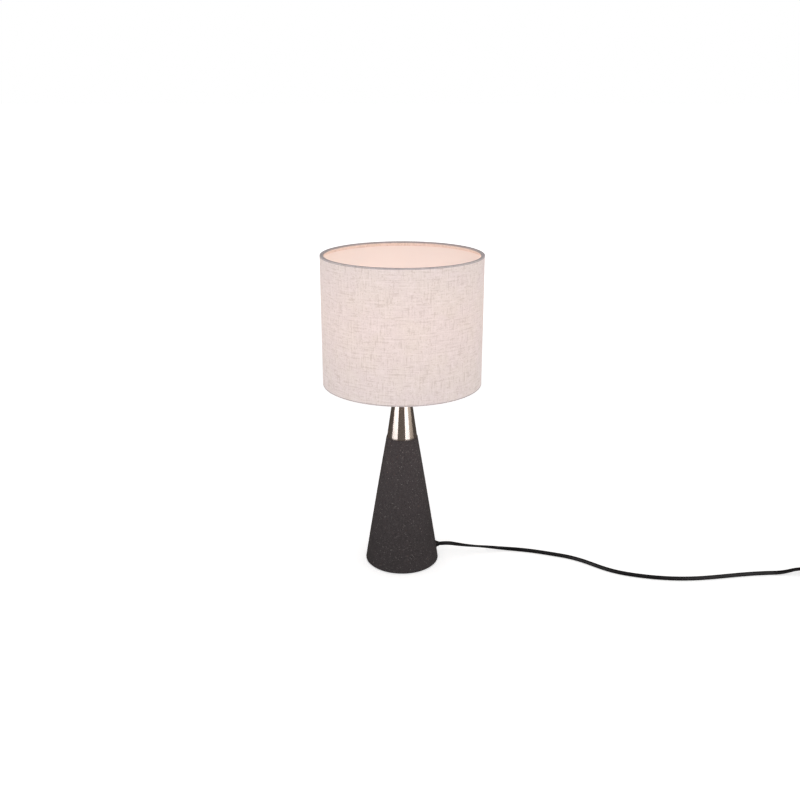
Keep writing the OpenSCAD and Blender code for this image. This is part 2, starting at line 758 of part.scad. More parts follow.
// --- what is drawn ---
foot_pad();
base_cone();
base_plate();
plate_screws();
ballast();
ballast_screws();
cord_bush();
cord_clamp();
clamp_screws();
inner_cord();
live_core();
neutral_core();
neck_cone();
threaded_tube();
tube_washer();
lock_washer();
base_nut();
neck_nut();
holder_base();
holder_shell();
holder_insert();
screw_shell();
centre_contact();
terminal_screws();
grub_screw();
shade_ring();
shade_fabric();
shade_liner();
shade_seam();
top_trim();
bottom_trim();
top_wire();
bottom_wire();
fitter_arms();
fitter_ring();
bulb_cap();
bulb_insulator();
bulb_tip();
bulb_housing();
bulb_globe();
led_board();
driver_board();
cord_run();
switch_lower();
switch_upper();
switch_rocker();
switch_pin();
switch_contacts();
switch_terminals();
switch_screws();
cord_tail();
cord_coil();
coil_tie();
cord_end();
plug_relief();
plug_body();
plug_pins();
pin_sleeves();
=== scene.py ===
"""A table lamp with a linen drum shade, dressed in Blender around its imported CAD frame."""
import json
import math

import bmesh
import bpy
import numpy as np
from mathutils import Matrix, Vector, noise


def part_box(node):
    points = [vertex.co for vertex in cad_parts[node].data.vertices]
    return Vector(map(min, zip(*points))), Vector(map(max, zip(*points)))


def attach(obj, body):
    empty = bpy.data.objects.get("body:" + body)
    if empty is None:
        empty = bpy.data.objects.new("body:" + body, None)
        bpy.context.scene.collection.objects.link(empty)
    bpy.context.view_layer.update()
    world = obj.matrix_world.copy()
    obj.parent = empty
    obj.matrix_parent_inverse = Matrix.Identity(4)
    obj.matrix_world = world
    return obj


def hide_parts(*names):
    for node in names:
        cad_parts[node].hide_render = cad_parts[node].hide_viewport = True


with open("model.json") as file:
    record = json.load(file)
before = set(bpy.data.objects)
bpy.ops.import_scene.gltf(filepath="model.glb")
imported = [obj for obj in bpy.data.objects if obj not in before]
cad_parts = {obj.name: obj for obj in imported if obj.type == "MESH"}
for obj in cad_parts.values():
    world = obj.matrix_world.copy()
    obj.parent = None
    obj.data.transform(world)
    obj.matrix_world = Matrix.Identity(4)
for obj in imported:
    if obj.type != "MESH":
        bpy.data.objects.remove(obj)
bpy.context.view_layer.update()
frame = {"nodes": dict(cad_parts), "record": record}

# Shapes are worked out in millimetres, and become metres when a piece is made.
MM = 0.001

# The camera's place in metres, its pitch in degrees and its lens in mm, from the photograph's view
CAMERA_AT = (-0.0027, -1.116, 0.595)
CAMERA_PITCH = 18.41
CAMERA_LENS = 41.49

# How strongly the floor glows near the lamp and far off, and the world as it lights and is mirrored
FLOOR_LIFT = 0.48
FAR_LIFT = 0.75
WORLD_FILL = 0.60
WORLD_MIRRORED = 0.25

# Sizes that the CAD nodes' boxes don't give
BASE_TOP_R = 20.1
BASE_SWELL = 0.35  # how far the base's side stands out half way up
BASE_WALL = 6
BASE_CROWN = 17  # solid top of the base, over its hollow
NECK_TOP_R = 8.5
NECK_FLARE = 0.25  # how far the neck's lower edge stands out past its CAD node
NECK_BORE_R = 5.1
EXIT_ANGLE = 8  # degrees from +X to the place where the lead leaves the base
SKIRT_R = 13.6
SKIRT_PITCH = 2.0
CAP_PITCH = 2.82
FABRIC_T = 0.6
LINER_T = 0.8
WIRE_R = 1.5
CORD_W = 5.2
CORD_T = 3.2
TURN_PITCH = CORD_T + 0.2
SWITCH_SPLIT = 8.5  # height of the joint between the switch's case halves
PIN_AT = 9.3  # from the plug's middle to each of its pins


def span(node):
    """Lowest and highest corner of a CAD node at rest, in mm."""
    low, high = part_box(node)
    return np.array(low) / MM, np.array(high) / MM


def upright(node):
    """Lowest and highest level, and radius, of a CAD node that stands round the lamp's axis."""
    low, high = span(node)
    return low[2], high[2], high[0]


def middle_of(node):
    low, high = span(node)
    return (low + high) / 2


def size_of(node):
    low, high = span(node)
    return high - low


BASE_HIGH, NECK_HIGH, NECK_R = upright("neck_cone")
SHADE_LOW, SHADE_HIGH, SHADE_R = upright("shade_fabric")
GLOBE_LOW, GLOBE_HIGH, GLOBE_R = upright("bulb_globe")
GLOBE_MIDDLE = GLOBE_HIGH - GLOBE_R


# ---- camera

def add_object(name, data):
    made = bpy.data.objects.new(name, data)
    bpy.context.scene.collection.objects.link(made)
    return made


def make_camera():
    data = bpy.data.cameras.new("camera")
    data.lens = CAMERA_LENS
    data.sensor_width = 36
    data.clip_start = 0.01
    data.clip_end = 50
    camera = add_object("camera", data)
    camera.location = CAMERA_AT
    camera.rotation_euler = (math.radians(90 - CAMERA_PITCH), 0, 0)
    bpy.context.scene.camera = camera


make_camera()


# ---- shapes: (points in mm, faces)

def joined(*shapes):
    points, faces = [], []
    for more_points, more_faces in shapes:
        faces += [tuple(i + len(points) for i in face) for face in more_faces]
        points += list(more_points)
    return points, faces


def placed(shape, matrix):
    return [matrix @ Vector(p) for p in shape[0]], shape[1]


def copies(shape, matrices):
    return joined(*(placed(shape, matrix) for matrix in matrices))


def turned_z(degrees):
    return Matrix.Rotation(math.radians(degrees), 4, "Z")


def moved(x, y, z):
    return Matrix.Translation((x, y, z))


ALONG_X = Matrix.Rotation(math.radians(90), 4, "Y")


def unevenness(a, round_scale, z=0):
    """Noise from -1 to 1 that runs round the axis without a seam."""
    return noise.noise(Vector((math.cos(a) * round_scale, math.sin(a) * round_scale, z)))


def angles(count, first=0.0):
    return [2 * math.pi * (k + first) / count for k in range(count)]


def smooth_step(t):
    t = min(max(t, 0.0), 1.0)
    return t * t * (3 - 2 * t)


def rounded(corners, closed=False, steps=5):
    """Outline through corners: (x, y, radius) becomes an arc, and plain (x, y) stays."""
    out = []
    for i, corner in enumerate(corners):
        at = Vector(corner[:2])
        if len(corner) < 3 or (not closed and i in (0, len(corners) - 1)):
            out.append(tuple(at))
            continue
        before = Vector(corners[i - 1][:2]) - at
        after = Vector(corners[(i + 1) % len(corners)][:2]) - at
        half = before.angle(after) / 2
        reach = min(corner[2] / math.tan(half), 0.49 * before.length, 0.49 * after.length)
        radius = reach * math.tan(half)
        middle = at + (before.normalized() + after.normalized()).normalized() * radius / math.sin(half)
        start = at + before.normalized() * reach - middle
        end = at + after.normalized() * reach - middle
        a = math.atan2(start.y, start.x)
        turn = (math.atan2(end.y, end.x) - a + math.pi) % (2 * math.pi) - math.pi
        for k in range(steps + 1):
            b = a + turn * k / steps
            out.append((middle.x + radius * math.cos(b), middle.y + radius * math.sin(b)))
    return out


def split_up(path, step):
    """Adds points to an open path, about a step apart."""
    out = []
    for a, b in zip(path, path[1:]):
        count = max(1, round(math.dist(a, b) / step))
        out += [tuple(p + (q - p) * k / count for p, q in zip(a, b)) for k in range(count)]
    return out + [path[-1]]


def wall(path, thickness):
    """Closed outline of a wall on the left of an open path."""
    inner = []
    for i, p in enumerate(path):
        ahead = Vector(path[min(i + 1, len(path) - 1)])
        d = (ahead - Vector(path[max(i - 1, 0)])).normalized()
        inner.append((p[0] - d.y * thickness, p[1] + d.x * thickness))
    return list(path) + inner[::-1]


def lathe(profile, sides=128, closed=False, shape=None):
    """Turns (radius, z) points about Z: from axis to axis, or a closed ring. A shape function of
    (radius, z, angle) may give each point another radius."""
    points, faces, rows = [], [], []
    for r, z in profile:
        if r == 0:
            rows.append([len(points)] * sides)
            points.append((0, 0, z))
            continue
        rows.append([len(points) + k for k in range(sides)])
        for a in angles(sides):
            radius = shape(r, z, a) if shape else r
            points.append((radius * math.cos(a), radius * math.sin(a), z))
    for low, high in zip(rows, rows[1:] + (rows[:1] if closed else [])):
        for k in range(sides):
            m = (k + 1) % sides
            face = tuple(dict.fromkeys((low[k], low[m], high[m], high[k])))
            if len(face) > 2:
                faces.append(face)
    return points, faces


def loft(rings, closed=False):
    """Skin over rings of equally many points: with flat ends, or closed on itself."""
    count = len(rings[0])
    points = [p for ring in rings for p in ring]
    faces = []
    if not closed:
        last = (len(rings) - 1) * count
        faces = [tuple(range(count))[::-1], tuple(last + k for k in range(count))]
    for i in range(len(rings) if closed else len(rings) - 1):
        n = (i + 1) % len(rings)
        for k in range(count):
            m = (k + 1) % count
            faces.append((i * count + k, i * count + m, n * count + m, n * count + k))
    return points, faces


def grown(outline, by):
    """A counter-clockwise outline with each point moved inwards, or outwards by less than 0."""
    out = []
    for i, p in enumerate(outline):
        d = Vector(outline[(i + 1) % len(outline)]) - Vector(outline[i - 1])
        n = Vector((-d.y, d.x)).normalized()
        out.append((p[0] + n.x * by, p[1] + n.y * by))
    return out


def square(half):
    return [(-half, -half), (half, -half), (half, half), (-half, half)]


def slab(outline, low, high, low_edge, high_edge, steps=4):
    """Plate of a counter-clockwise outline, with its bottom and top edges rounded."""
    arc = [math.pi / 2 * k / steps for k in range(steps + 1)]
    levels = [(low_edge * (1 - math.sin(a)), low + low_edge * (1 - math.cos(a))) for a in arc]
    levels += [(high_edge * (1 - math.sin(a)), high - high_edge * (1 - math.cos(a))) for a in arc[::-1]]
    return loft([[(x, y, z) for x, y in grown(outline, inset)] for inset, z in levels])


def plan(length, width, radius, steps=8):
    """Rectangle with rounded corners, centred, counter-clockwise."""
    x, y = length / 2, width / 2
    corners = [(x, y, radius), (-x, y, radius), (-x, -y, radius), (x, -y, radius)]
    return rounded(corners, closed=True, steps=steps)


def bead(centre, radius, height):
    """Lump of weld, uneven all over."""
    arc = [math.pi * (k / 8 - 0.5) for k in range(9)]
    profile = [(radius * math.cos(a), height * math.sin(a)) for a in arc[1:-1]]

    def uneven(r, z, a):
        return r * (1 + 0.25 * noise.noise(Vector((math.cos(a), math.sin(a), z)) + Vector(centre)))

    return placed(lathe([(0, -height), *profile, (0, height)], 18, shape=uneven), moved(*centre))


def between(a, b, start, end, t):
    """The value at t on a straight line from a at start to b at end."""
    return (end - t) / (end - start) * a + (t - start) / (end - start) * b


def spline(points, step):
    """Centripetal curve through points, sampled about every step; a fourth value only goes along."""
    pts = [np.array(p, float) for p in points]
    pts = [2 * pts[0] - pts[1]] + pts + [2 * pts[-1] - pts[-2]]
    out = []
    for i in range(1, len(pts) - 2):
        p0, p1, p2, p3 = pts[i - 1:i + 3]
        knots = [0.0]
        for a, b in ((p0, p1), (p1, p2), (p2, p3)):
            knots.append(knots[-1] + math.sqrt(np.linalg.norm(b[:3] - a[:3])))
        t0, t1, t2, t3 = knots
        count = max(1, round(np.linalg.norm(p2[:3] - p1[:3]) / step))
        for k in range(count):
            t = t1 + (t2 - t1) * k / count
            middle = between(p1, p2, t1, t2, t)
            before = between(between(p0, p1, t0, t1, t), middle, t0, t2, t)
            after = between(middle, between(p2, p3, t2, t3, t), t1, t3, t)
            out.append(between(before, after, t1, t2, t))
    out.append(pts[-2])
    return np.array(out)


def relax(path, rounds):
    """Evens out a sampled path's curvature and leaves its two ends where they are."""
    for _ in range(rounds):
        path[2:-2] = 0.25 * path[1:-3] + 0.5 * path[2:-2] + 0.25 * path[3:-1]
    return path


def oval(width, thickness, count=20):
    """Outline with flat sides and round ends, as (across the wide side, across the thin side)."""
    half, radius = (width - thickness) / 2, thickness / 2
    return [(math.copysign(half, math.cos(a)) + radius * math.cos(a), radius * math.sin(a))
            for a in angles(count, 0.5)]


def sweep(path, section):
    """Tube along a path of (x, y, z, roll); the section stands upright at roll 0."""
    rings = []
    for i, p in enumerate(path):
        ahead = Vector(path[min(i + 1, len(path) - 1)][:3])
        d = (ahead - Vector(path[max(i - 1, 0)][:3])).normalized()
        left = Vector((-d.y, d.x, 0)).normalized()
        up = d.cross(left)
        roll = math.radians(p[3])
        wide = math.cos(roll) * up + math.sin(roll) * left
        thin = d.cross(wide)
        rings.append([Vector(p[:3]) + wide * a + thin * b for a, b in section])
    return loft(rings)


# ---- pieces

def as_object(name, shape):
    mesh = bpy.data.meshes.new(name)
    mesh.from_pydata([tuple(MM * c for c in p) for p in shape[0]], [], shape[1])
    work = bmesh.new()
    work.from_mesh(mesh)
    bmesh.ops.recalc_face_normals(work, faces=work.faces)
    work.to_mesh(mesh)
    work.free()
    return add_object(name, mesh)


def combine(piece, shape, operation):
    """Cuts a shape out of a piece, or keeps what they share, for good."""
    tool = as_object("tool", shape)
    change = piece.modifiers.new("cut", "BOOLEAN")
    change.operation = operation
    change.solver = "EXACT"
    change.object = tool
    graph = bpy.context.evaluated_depsgraph_get()
    result = bpy.data.meshes.new_from_object(piece.evaluated_get(graph))
    piece.modifiers.clear()
    piece.data = result
    bpy.data.objects.remove(tool)


def merge(piece, other):
    """Adds another piece's mesh to a piece, and removes the other."""
    work = bmesh.new()
    work.from_mesh(piece.data)
    work.from_mesh(other.data)
    work.to_mesh(piece.data)
    work.free()
    bpy.data.objects.remove(other)


def add_piece(name, shape, slot, replaces=(), sharp=35, body="lamp", cuts=(), keeps=()):
    """Makes a finished piece from a shape, in its slot's material, riding on a body."""
    piece = as_object(name, shape)
    for cut in cuts:
        combine(piece, cut, "DIFFERENCE")
    for keep in keeps:
        combine(piece, keep, "INTERSECT")
    mesh = piece.data
    mesh.polygons.foreach_set("use_smooth", [True] * len(mesh.polygons))
    mesh.set_sharp_from_angle(angle=math.radians(sharp))
    mesh.materials.clear()
    mesh.materials.append(material(slot))
    mesh.update()
    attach(piece, body)
    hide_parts(*replaces)
    return piece


# ---- materials

def tinted(colour, *factors):
    """A colour with each of its channels multiplied by a factor, up to 1."""
    return tuple(min(1.0, c * f) for c, f in zip(colour, factors))


def feed(tree, socket, value):
    """Sets a node's input to a value, or links it to another node."""
    if isinstance(value, bpy.types.NodeSocket):
        tree.links.new(value, socket)
    else:
        socket.default_value = value


def add_node(tree, kind, inputs=None, **settings):
    made = tree.nodes.new("ShaderNode" + kind)
    for setting, value in settings.items():
        setattr(made, setting, value)
    for key, value in (inputs or {}).items():
        feed(tree, made.inputs[key], value)
    return made


class Look:
    """A node-based material: its Principled shader, and texture coordinates fixed to the object."""

    def __init__(self, name, colour, roughness, **sockets):
        self.material = bpy.data.materials.new(name)
        self.material.use_nodes = True
        self.tree = self.material.node_tree
        self.shader = self.tree.nodes["Principled BSDF"]
        self.colour = colour
        self.set("Base Color", (*colour, 1))
        self.set("Roughness", roughness)
        for socket, value in sockets.items():
            self.set(socket.replace("_", " "), value)
        self.place = self.add("TexCoord").outputs["Object"]

    def set(self, socket, value):
        feed(self.tree, self.shader.inputs[socket], value)

    def feeding(self, socket):
        """What one of the shader's sockets is linked to now."""
        return self.shader.inputs[socket].links[0].from_socket

    def add(self, kind, inputs=None, **settings):
        return add_node(self.tree, kind, inputs, **settings)

    def math(self, operation, *values):
        return self.add("Math", dict(enumerate(values)), operation=operation).outputs[0]

    def times(self, a, b):
        return self.math("MULTIPLY", a, b)

    def sum(self, *values):
        """Adds up plain values and (value, weight) pairs."""
        total = 0.0
        for value in values:
            value, weight = value if isinstance(value, tuple) else (value, 1.0)
            total = self.math("MULTIPLY_ADD", value, weight, total)
        return total

    def parts(self, vector):
        return self.add("SeparateXYZ", {0: vector}).outputs

    def height(self):
        return self.parts(self.place)[2]

    def noise(self, scale, at=None, detail=2.0):
        inputs = {"Vector": at or self.place, "Scale": scale, "Detail": detail}
        return self.add("TexNoise", inputs).outputs["Fac"]

    def fade(self, value, low, high, to_low=0.0, to_high=1.0):
        """Goes smoothly from to_low at low to to_high at high."""
        inputs = {"Value": value, "From Min": low, "From Max": high, "To Min": to_low, "To Max": to_high}
        return self.add("MapRange", inputs, interpolation_type="SMOOTHSTEP").outputs[0]

    def mix(self, factor, a, b):
        inputs = {"Fac": factor}
        for key, value in (("Color1", a), ("Color2", b)):
            inputs[key] = value if isinstance(value, bpy.types.NodeSocket) else (*value, 1)
        return self.add("MixRGB", inputs).outputs[0]

    def shades(self, factor, *stops):
        """Colour ramp of (position, shade) stops, each shade a multiple of the material's colour."""
        ramp = self.add("ValToRGB", {"Fac": factor})
        elements = ramp.color_ramp.elements
        elements.remove(elements[1])
        for i, (position, shade) in enumerate(stops):
            element = elements[0] if i == 0 else elements.new(position)
            element.position = position
            shade = shade if isinstance(shade, tuple) else (shade,) * 3
            element.color = (*tinted(self.colour, *shade), 1)
        return ramp.outputs[0]

    def bump(self, height, depth):
        """Relief of a depth in metres for a height from 0 to 1."""
        inputs = {"Height": height, "Distance": depth, "Strength": 1.0}
        self.set("Normal", self.add("Bump", inputs).outputs[0])

    def around(self):
        """Metres round the lamp's axis at the shade's radius, from the front, and the height."""
        x, y, z = self.parts(self.place)
        angle = self.math("ARCTAN2", x, self.times(y, -1.0))
        return self.times(angle, SHADE_R * MM), z

    def streaks(self, at, per_metre_along, per_metre_up, seed, detail=1.0):
        """Noise stretched along or across the cloth, at a place from around()."""
        along, up = self.times(at[0], per_metre_along), self.times(at[1], per_metre_up)
        vector = self.add("CombineXYZ", {"X": along, "Y": up, "Z": seed}).outputs[0]
        return self.noise(1.0, vector, detail)


def grained(name, colour, roughness, spread, grain, depth, rough_spread=0.08, **sockets):
    """Plain stuff with a fine grain: its colour, roughness and relief all vary a little."""
    look = Look(name, colour, roughness, **sockets)
    fine = look.noise(grain, detail=3.0)
    broad = look.noise(grain / 11, detail=2.0)
    both = look.sum((fine, 0.6), (broad, 0.4))
    look.set("Base Color", look.shades(both, (0.3, 1 - spread), (0.5, 1.0), (0.7, 1 + spread)))
    look.set("Roughness", look.fade(broad, 0.35, 0.65, roughness - rough_spread, roughness + rough_spread))
    look.bump(fine, depth)
    return look


def add_sand(look, colour, at, scale, pale, dark):
    """One size of sand over a colour: ragged grains of uneven size, some of them pale and some dark."""
    cells = look.add("TexVoronoi", {"Vector": at, "Scale": scale, "Randomness": 1.0})
    paleness, darkness, size = look.parts(cells.outputs["Color"])
    reach = look.math("MULTIPLY_ADD", size, 0.30, 0.22)
    inside = look.fade(look.math("DIVIDE", cells.outputs["Distance"], reach), 0.7, 1.15, 1.0, 0.0)
    colour = look.mix(look.times(inside, look.fade(paleness, 0.74, 0.95, 0.0, 0.85)), colour, pale)
    colour = look.mix(look.times(inside, look.fade(darkness, 0.70, 0.92, 0.0, 0.75)), colour, dark)
    return colour, inside


def cast_base_look(name):
    """Dark cast stone: coarse and fine sand and grit over a mottled ground, with painted shade darkening it
    towards the floor.
    """
    look = grained(name, (0.054, 0.044, 0.0455), 0.8, 0.22, 420, 0.00012, Specular_IOR_Level=0.2)
    ragged = look.add("TexNoise", {"Vector": look.place, "Scale": 1500.0, "Detail": 2.0}).outputs["Color"]
    shift = {0: ragged, 1: (0.0011,) * 3, 2: look.place}
    at = look.add("VectorMath", shift, operation="MULTIPLY_ADD").outputs[0]
    colour, coarse = add_sand(look, look.feeding("Base Color"), at, 700.0,
                              (0.20, 0.18, 0.175), (0.015, 0.012, 0.013))
    colour, small = add_sand(look, colour, at, 1300.0, (0.15, 0.135, 0.13), (0.022, 0.018, 0.019))
    grit = look.noise(1900.0)
    colour = look.mix(look.fade(grit, 0.52, 0.75, 0.0, 0.35), colour, (0.14, 0.125, 0.125))
    colour = look.mix(look.fade(grit, 0.48, 0.28, 0.0, 0.45), colour, (0.02, 0.016, 0.017))
    # Painted shade: the colour is darkened towards the floor, where the base gets less light.
    painted_floor_shade = look.fade(look.height(), 0.0, BASE_HIGH * MM, 0.32, 0.0)
    look.set("Base Color", look.mix(painted_floor_shade, colour, (0.0, 0.0, 0.0)))
    rough = look.noise(900.0, detail=3.0)
    look.bump(look.sum((rough, 0.5), (grit, 0.25), (coarse, 0.15), (small, 0.1)), 0.0002)
    return look


def brushed_look(name):
    """Metal brushed round the lamp's axis."""
    look = Look(name, (0.74, 0.67, 0.61), 0.17, Metallic=1.0, Anisotropic=0.95, Anisotropic_Rotation=0.25)
    look.set("Tangent", look.add("Tangent", direction_type="RADIAL", axis="Z").outputs[0])
    at = look.around()
    scratch = look.streaks(at, 30.0, 5200.0, 1.0, 3.0)
    patch = look.streaks(at, 60.0, 300.0, 2.0, 2.0)
    both = look.sum((scratch, 0.7), (patch, 0.3))
    look.set("Base Color", look.shades(both, (0.25, 0.86), (0.5, 1.0), (0.75, 1.1)))
    look.set("Roughness", look.sum((patch, 0.02), 0.16))
    look.bump(scratch, 0.000001)
    return look


def glow(look):
    """How strongly the bulb lights a point of the shade's wall, from 0 to 1, for the glow painted into the
    cloth and lining.
    """
    away = look.math("DIVIDE", look.math("SUBTRACT", look.height(), GLOBE_MIDDLE * MM), SHADE_R * MM)
    return look.math("POWER", look.math("MULTIPLY_ADD", away, away, 1.0), -1.5)


LINEN = (0.75, 0.655, 0.644)
THREAD_PITCH = 0.00092
# The linen's thick and thin spots: how much they show, their tint, and where they begin and are full
# in the noise of its weft, warp and specks
SLUBS = [
    (0.40, (0.64, 0.575, 0.52), (0.56, 0.70), (0.57, 0.71), (0.66, 0.76)),
    (0.45, (1.13, 1.16, 1.18), (0.44, 0.32), (0.43, 0.31), (0.34, 0.24)),
]


def linen_look(name, painted_glow):
    """Slubbed linen: fine plain weave, with thick and thin threads both ways and flecks, and a painted glow
    of the bulb's light through it.
    """
    look = Look(name, LINEN, 0.92, Specular_IOR_Level=0.15, Sheen_Weight=0.15, Sheen_Roughness=0.5)
    at = look.around()
    weft = look.streaks(at, 60.0, 500.0, 3.0, 2.0)
    warp = look.streaks(at, 500.0, 60.0, 9.0, 2.0)
    fine_weft = look.streaks(at, 180.0, 1100.0, 21.0)
    fine_warp = look.streaks(at, 1100.0, 180.0, 27.0)
    specks = look.noise(620.0, detail=0.0)
    threads = [look.math("SINE", look.times(value, 2 * math.pi / THREAD_PITCH)) for value in at]
    weave = look.times(*threads)

    fine = look.sum((fine_weft, 0.4), (fine_warp, 0.4), (weave, 0.05), 0.1)
    cloth = look.shades(fine, (0.3, (0.90, 0.89, 0.89)), (0.5, 1.0), (0.7, (1.05, 1.055, 1.06)))
    dyed = look.fade(look.noise(30.0), 0.35, 0.65, 0.0, 0.5)
    cloth = look.mix(dyed, cloth, tinted(LINEN, 1.0, 1.02, 0.96))
    for strength, tint, *limits in SLUBS:
        spots = look.sum(*(look.fade(value, *limit) for value, limit in zip((weft, warp, specks), limits)))
        shown = look.times(look.math("MINIMUM", spots, 1.0), strength)
        cloth = look.mix(shown, cloth, tinted(LINEN, *tint))
    look.set("Base Color", cloth)
    relief = look.sum((weft, 0.3), (warp, 0.3), (fine_weft, 0.25), (fine_warp, 0.25), (weave, 0.12))
    look.bump(relief, 0.0003)

    # Painted glow: the bulb's light through the cloth, as warm emission, strongest level with the bulb and
    # where threads are thin.
    look.set("Emission Color", (1.0, 0.56, 0.32, 1))
    thin = look.fade(look.sum((weft, -0.5), (warp, -0.5), 1.0), 0.3, 0.7, 0.88, 1.12)
    lit = look.times(glow(look), thin)
    look.set("Emission Strength", look.times(lit, painted_glow))
    return look


def rim_look(name):
    """The same linen, greyed with painted shade along the very edge where it is rolled tight over the wire
    and no light comes through.
    """
    look = linen_look(name, 0.3)
    from_middle = look.math("SUBTRACT", look.height(), (SHADE_LOW + SHADE_HIGH) / 2 * MM)
    half = (SHADE_HIGH - SHADE_LOW) / 2 * MM
    # Painted shade: a greyer colour and no painted glow along the rolled edge.
    shaded_edge = look.fade(look.math("ABSOLUTE", from_middle), half - 0.0019, half - 0.0009)
    cloth = look.feeding("Base Color")
    look.set("Base Color", look.mix(look.times(shaded_edge, 0.65), cloth, (0.30, 0.265, 0.285)))
    lit = look.feeding("Emission Strength")
    look.set("Emission Strength", look.times(lit, look.math("SUBTRACT", 1.0, shaded_edge)))
    return look


def lining_look(name):
    """Smooth stiff film, with the bulb's warm light on it painted in as a glow."""
    look = grained(name, (0.90, 0.80, 0.765), 0.6, 0.015, 600, 0.00002)
    look.set("Emission Color", (1.0, 0.80, 0.70, 1))
    look.set("Emission Strength", look.times(glow(look), 0.16))
    return look


def opal_look(name):
    """Milky plastic lit from within, brightest in its middle."""
    look = grained(name, (0.80, 0.765, 0.70), 0.35, 0.01, 500, 0.00001)
    middle = GLOBE_MIDDLE * MM
    below = look.fade(look.height(), middle - 0.016, middle + 0.004, 0.15, 0.5)
    above = look.fade(look.height(), middle, middle + 0.022, 1.0, 0.4)
    look.set("Emission Color", (1.0, 0.80, 0.60, 1))
    look.set("Emission Strength", look.times(below, above))
    return look


def chips_look(name):
    """White board with a ring of yellow chips standing on it."""
    look = grained(name, (0.85, 0.85, 0.82), 0.5, 0.03, 900, 0.00002)
    board_low = upright("led_board")[0] * MM
    chip = look.fade(look.height(), board_low + 0.00122, board_low + 0.00126)
    look.set("Base Color", look.mix(chip, look.feeding("Base Color"), (0.75, 0.5, 0.07)))
    return look


# Plain stuffs: colour, roughness, spread of the colour, grains to a metre, their depth in metres
PLAIN = {
    "felt_pad": ((0.02, 0.02, 0.021), 0.95, 0.35, 1500, 0.0002),
    "black_plastic": ((0.014, 0.014, 0.016), 0.45, 0.2, 2600, 0.00003),
    "brown_core": ((0.12, 0.045, 0.02), 0.4, 0.12, 900, 0.00002),
    "blue_core": ((0.02, 0.08, 0.35), 0.4, 0.12, 900, 0.00002),
    "ceramic": ((0.72, 0.69, 0.62), 0.55, 0.06, 1200, 0.00004),
    "white_wire": ((0.85, 0.84, 0.81), 0.42, 0.03, 1100, 0.00003),
    "black_glass": ((0.01, 0.01, 0.012), 0.15, 0.2, 500, 0.00002),
    "white_plastic": ((0.86, 0.86, 0.84), 0.38, 0.02, 1800, 0.00002),
    "green_board": ((0.03, 0.15, 0.05), 0.45, 0.3, 700, 0.00004),
    "nylon_tie": ((0.02, 0.02, 0.022), 0.5, 0.25, 1600, 0.00005),
}
METALS = {
    "zinc_steel": ((0.55, 0.56, 0.58), 0.36, 0.1, 700, 0.00002),
    "yellow_zinc": ((0.62, 0.52, 0.30), 0.34, 0.2, 400, 0.00002),
    "brass": ((0.72, 0.52, 0.22), 0.3, 0.12, 600, 0.00002),
    "nickel_cap": ((0.70, 0.69, 0.66), 0.25, 0.08, 800, 0.00002),
}
OTHERS = {
    "cast_base": cast_base_look,
    "iron": lambda n: grained(n, (0.12, 0.11, 0.10), 0.7, 0.3, 500, 0.0002, Metallic=0.6),
    "black_pvc": lambda n: grained(n, (0.004, 0.004, 0.0045), 0.38, 0.3, 700, 0.00003, 0.07,
                                   Specular_IOR_Level=0.18),
    "brushed_nickel": brushed_look,
    "shade_linen": lambda n: linen_look(n, 0.105),
    "rim_linen": rim_look,
    "shade_lining": lining_look,
    "opal": opal_look,
    "white_board": chips_look,
}
MADE = {}


def material(slot):
    """The one material of a slot, made when it is first wanted."""
    if slot not in MADE:
        name = slot + "_look"
        if slot in PLAIN:
            look = grained(name, *PLAIN[slot])
        elif slot in METALS:
            look = grained(name, *METALS[slot], Metallic=1.0)
        else:
            look = OTHERS[slot](name)
        MADE[slot] = look.material
    return MADE[slot]


# ---- the lead

# Routes in millimetres: x, y, z, and the turn of the cord's wide side from upright, in degrees
RUN_ROUTE = [
    (49.7, 7, 16.5, 0), (56, 7.9, 16.7, 18), (65, 9.1, 16, 36), (75, 10.5, 13.8, 68),
    (86, 12, 11.5, 95), (98, 13.8, 9.4, 114), (110, 15.5, 7.7, 121), (122, 17.1, 5.8, 140),
    (133, 18.6, 3.9, 154), (143, 19, 2.8, 170), (153, 17.4, 2.7, 188), (164, 15.3, 2.7, 204),
    (176, 12.4, 2.7, 208), (190, 8, 2.7, 208), (203, 3.4, 2.7, 208), (216, -1.4, 2.7, 208),
    (228, -7.1, 2.7, 208), (240, -15, 2.7, 208), (250, -23.3, 2.7, 208), (260, -32.1, 2.7, 208),
    (271, -40.6, 2.7, 208), (283, -47.4, 2.7, 208), (296, -52.6, 2.7, 208), (309, -56.5, 2.7, 208),
    (322, -59.6, 2.7, 208), (336, -61.9, 2.7, 208), (350, -63.2, 2.7, 208), (364, -63.5, 2.7, 208),
    (378, -62.8, 2.7, 208), (392, -61.2, 2.7, 208), (406, -59, 2.7, 208), (420, -56.5, 2.7, 208),
    (434, -54, 2.7, 208), (448, -51.8, 2.7, 208), (462, -50, 2.7, 210), (476, -48.8, 2.7, 218),
    (490, -48.2, 2.9, 236), (500, -48, 4.3, 252), (511, -48, 7.2, 265), (522, -48, 8.5, 270)]
TAIL_ROUTE = [
    (588, -48, 8.5, 270), (596, -49.3, 7.9, 278), (603, -53.8, 6.3, 292), (608.2, -60.4, 4.7, 310),
    (611, -68.5, 3.7, 330), (612.2, -78, 3.3, 350), (612.3, -88, 3.25, 360), (612.1, -98, 3.25, 360)]
END_ROUTE = [
    (610.3, -119, 8.5, 360), (606.6, -129, 7.6, 374), (602.8, -139.5, 5.2, 394),
    (598.8, -149, 3.5, 416), (592.8, -157, 3.2, 436), (585.6, -161.9, 4.9, 448),
    (577.4, -163, 6.85, 450)]

COIL_ROWS = 3  # in each of its two layers
COIL_STEP = 15  # degrees between the points of a turn
JOG = 0.25  # share of a turn over which the cord moves to its next row


